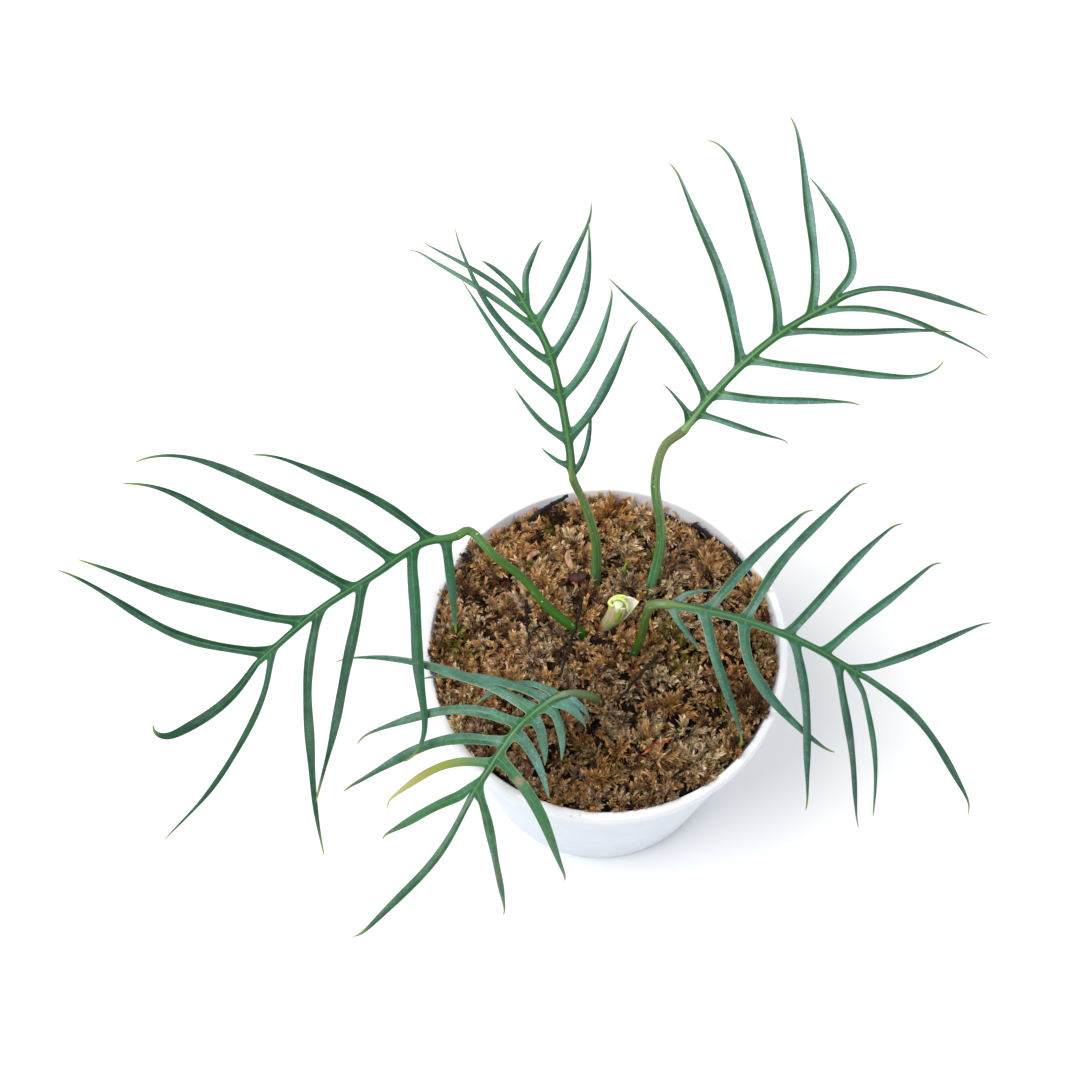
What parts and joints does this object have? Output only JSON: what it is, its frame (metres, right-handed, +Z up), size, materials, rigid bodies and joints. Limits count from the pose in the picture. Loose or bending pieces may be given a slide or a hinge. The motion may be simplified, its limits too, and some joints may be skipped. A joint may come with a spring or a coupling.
{
  "type": "potted philodendron plant",
  "caption": "Young philodendron in a round white plastic pot of sphagnum moss: long-stalked leaves cut to the rib into narrow leaflets, and one cut shoot.",
  "frame": {"origin": "centre of the pot's flat underside", "axes": "+Z up along the pot's axis, -Y towards the front, +X to the right of someone who faces the front"},
  "size_m": [0.2968, 0.2283, 0.2096],
  "materials": {
    "white_plastic": "satin white, slightly translucent",
    "sphagnum": "dry, loose and fibrous",
    "green_stalk": "smooth satin",
    "leaf": "satin, with a faint bluish bloom",
    "cut_shoot": "pale and fibrous"
  },
  "bodies": {
    "root": {"pot": "white_plastic", "moss": "sphagnum", "cut_stub": "cut_shoot", "petiole_left": "green_stalk", "petiole_back": "green_stalk", "petiole_tall": "green_stalk", "petiole_right": "green_stalk", "petiole_front": "green_stalk", "frond_left": "leaf", "frond_back": "leaf", "frond_tall": "leaf", "frond_right": "leaf", "frond_front": "leaf"}
  },
  "joints": []
}
